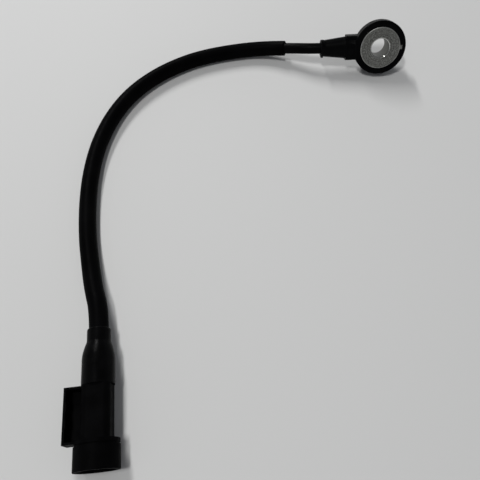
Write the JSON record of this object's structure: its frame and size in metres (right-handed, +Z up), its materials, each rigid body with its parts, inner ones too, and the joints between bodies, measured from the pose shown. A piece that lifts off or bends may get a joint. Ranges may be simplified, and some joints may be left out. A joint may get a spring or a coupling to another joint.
{
  "type": "engine knock sensor",
  "caption": "Ring-shaped engine knock sensor with a metal clamping bushing, a moulded neck, a short sleeved cable and a round plug with a clip pocket.",
  "frame": {"origin": "middle of the bolt bore, halfway along the metal bushing", "axes": "+Z up from the table that the sensor lies on; the cable leaves the head towards -X; the contact face looks towards -Y and up"},
  "size_m": [0.1478, 0.1982, 0.0238],
  "materials": {
    "moulded_black": "semi-matt moulded black plastic",
    "relief_black": "soft black moulding with a dull sheen",
    "sleeve_black": "smooth matt black tube",
    "cable_black": "smooth satin black jacket",
    "turned_steel": "fine turned rings, dull zinc",
    "machined_steel": "machined",
    "contact_brass": "stamped",
    "tinned_terminal": "bright tin",
    "piezo_ceramic": "fired, silvered faces",
    "insulator_film": "amber film",
    "core_white": "white wire insulation",
    "core_black": "black wire insulation",
    "seal_orange": "silicone",
    "lock_grey": "moulded dark grey plastic"
  },
  "bodies": {
    "root": {"housing": "moulded_black", "plug_body": "moulded_black", "strain_relief": "relief_black", "plug_boot": "relief_black", "cable_sleeve": "sleeve_black", "cable": "cable_black", "bushing": "turned_steel", "seismic_mass": "machined_steel", "disc_spring": "machined_steel", "lock_nut": "machined_steel", "lower_contact": "contact_brass", "upper_contact": "contact_brass", "signal_terminal": "tinned_terminal", "ground_terminal": "tinned_terminal", "piezo_ring": "piezo_ceramic", "lower_insulator": "insulator_film", "upper_insulator": "insulator_film", "signal_core": "core_white", "lower_contact_lead": "core_white", "ground_core": "core_black", "upper_contact_lead": "core_black", "wire_grommet": "seal_orange", "terminal_lock": "lock_grey"}
  },
  "joints": []
}
